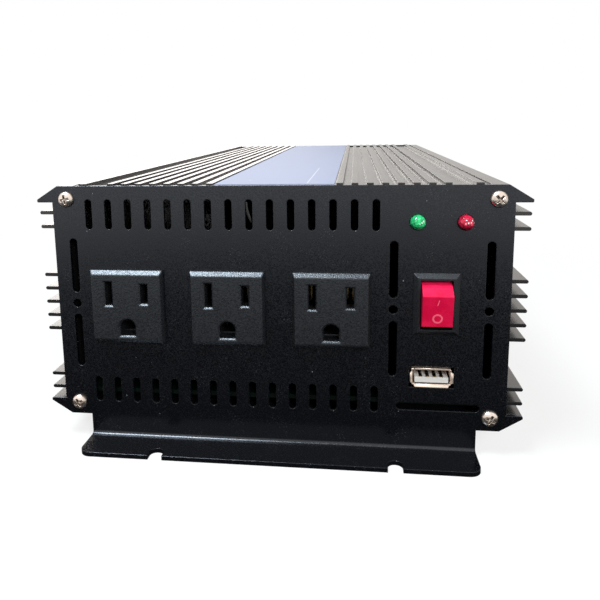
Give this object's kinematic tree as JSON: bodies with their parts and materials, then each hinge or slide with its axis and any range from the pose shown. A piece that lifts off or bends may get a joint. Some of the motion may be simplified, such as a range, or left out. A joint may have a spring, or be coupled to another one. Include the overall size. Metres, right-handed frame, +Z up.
{
  "type": "power inverter",
  "caption": "Black DC to AC power inverter: ribbed finned case, front outlets, USB port, rocker switch and lamps, rear fan and battery posts, bent sheet feet.",
  "frame": {"origin": "on the surface that the feet stand on, under the middle of the whole, from front foot edge to post ends", "axes": "+X to the viewer's right when facing the outlets, +Y from the outlet panel to the fan panel, +Z up"},
  "size_m": [0.166, 0.357, 0.0932],
  "materials": {
    "case_black": "satin black anodised extrusion with fine die lines",
    "panel_black": "fine-textured black powder coat",
    "label_blue": "matt pale blue film, plain",
    "screw_steel": "bright nickel plate",
    "outlet_black": "fine-grained moulded thermoplastic",
    "bezel_black": "moulded nylon",
    "rocker_red": "translucent red moulding",
    "contact_brass": "plain rolled brass",
    "tin_plate": "tin plate",
    "usb_nickel": "nickel-plated steel sheet",
    "usb_white": "white moulded insulator",
    "lamp_green": "tinted clear epoxy",
    "lamp_red": "tinted clear epoxy",
    "board_green": "solder-masked glass epoxy",
    "chip_black": "moulded epoxy",
    "pad_grey": "silicone pad",
    "bar_aluminium": "mill finish",
    "ferrite": "ground ferrite",
    "bobbin_black": "moulded phenolic",
    "winding_tape": "yellow polyester tape",
    "copper_wire": "enamelled copper",
    "can_sleeve": "heat-shrunk sleeve",
    "fuse_amber": "tinted fuse body",
    "fan_black": "moulded fan plastic",
    "guard_chrome": "bright chromed wire",
    "steel": "plain steel",
    "post_red": "moulded red plastic",
    "post_black": "moulded black plastic"
  },
  "bodies": {
    "case": {"back_washers": "post_black", "black_insulator": "post_black", "black_stud": "contact_brass", "bus_bars": "contact_brass", "choke_core": "ferrite", "choke_winding": "copper_wire", "clamp_bars": "bar_aluminium", "clamp_screws": "screw_steel", "control_board": "board_green", "control_chips": "chip_black", "fan_bush": "contact_brass", "fan_frame": "fan_black", "fan_guard": "guard_chrome", "fan_screws": "screw_steel", "fan_stator": "copper_wire", "fault_lamp": "lamp_red", "filter_capacitors": "can_sleeve", "front_panel": "panel_black", "front_panel_screws": "screw_steel", "fuses": "fuse_amber", "ground_screw": "contact_brass", "input_capacitors": "can_sleeve", "insulating_pads": "pad_grey", "label_strip": "label_blue", "lamp_board": "board_green", "lamp_leads": "tin_plate", "left_outlet_contacts": "contact_brass", "left_outlet_housing": "outlet_black", "lower_shell": "case_black", "main_board": "board_green", "middle_outlet_contacts": "contact_brass", "middle_outlet_housing": "outlet_black", "post_nuts": "contact_brass", "power_lamp": "lamp_green", "rear_panel": "panel_black", "rear_panel_screws": "screw_steel", "red_insulator": "post_red", "red_stud": "contact_brass", "right_outlet_contacts": "contact_brass", "right_outlet_housing": "outlet_black", "switch_housing": "bezel_black", "switch_terminals": "tin_plate", "transformer_bobbins": "bobbin_black", "transformer_cores": "ferrite", "transformer_windings": "winding_tape", "transistors": "chip_black", "upper_shell": "case_black", "usb_board": "board_green", "usb_contacts": "contact_brass", "usb_insulator": "usb_white", "usb_shell": "usb_nickel"},
    "rocker": {"switch_rocker": "rocker_red"},
    "fan_rotor": {"fan_rotor": "fan_black", "fan_shaft": "steel"},
    "red_post_washer": {"red_washer": "steel"},
    "red_post_knob": {"red_knob": "post_red", "red_insert": "contact_brass"},
    "black_post_washer": {"black_washer": "steel"},
    "black_post_knob": {"black_knob": "post_black", "black_insert": "contact_brass"}
  },
  "joints": [
    {"name": "rocker_tilt", "type": "hinge", "parent": "case", "child": "rocker", "pos_m": [0.0537, -0.1621, 0.0532], "axis": [-1, 0, 0], "range_deg": [0, 20]},
    {"name": "fan_spin", "type": "hinge", "parent": "case", "child": "fan_rotor", "pos_m": [-0.034, 0.1439, 0.0509], "axis": [0, 1, 0], "continuous": true},
    {"name": "red_washer_slide", "type": "slide", "parent": "case", "child": "red_post_washer", "axis": [0, 1, 0], "range_m": [0, 0.00375]},
    {"name": "red_knob_turn", "type": "hinge", "parent": "red_post_washer", "child": "red_post_knob", "pos_m": [0.022, 0.1621, 0.0509], "axis": [0, 1, 0], "range_deg": [0, 1080]},
    {"name": "black_washer_slide", "type": "slide", "parent": "case", "child": "black_post_washer", "axis": [0, 1, 0], "range_m": [0, 0.00375]},
    {"name": "black_knob_turn", "type": "hinge", "parent": "black_post_washer", "child": "black_post_knob", "pos_m": [0.056, 0.1621, 0.0509], "axis": [0, 1, 0], "range_deg": [0, 1080]}
  ],
  "couplings": [
    {"joint": "red_washer_slide", "follows": "red_knob_turn", "m_per_rad": 0.00019894},
    {"joint": "black_washer_slide", "follows": "black_knob_turn", "m_per_rad": 0.00019894}
  ]
}
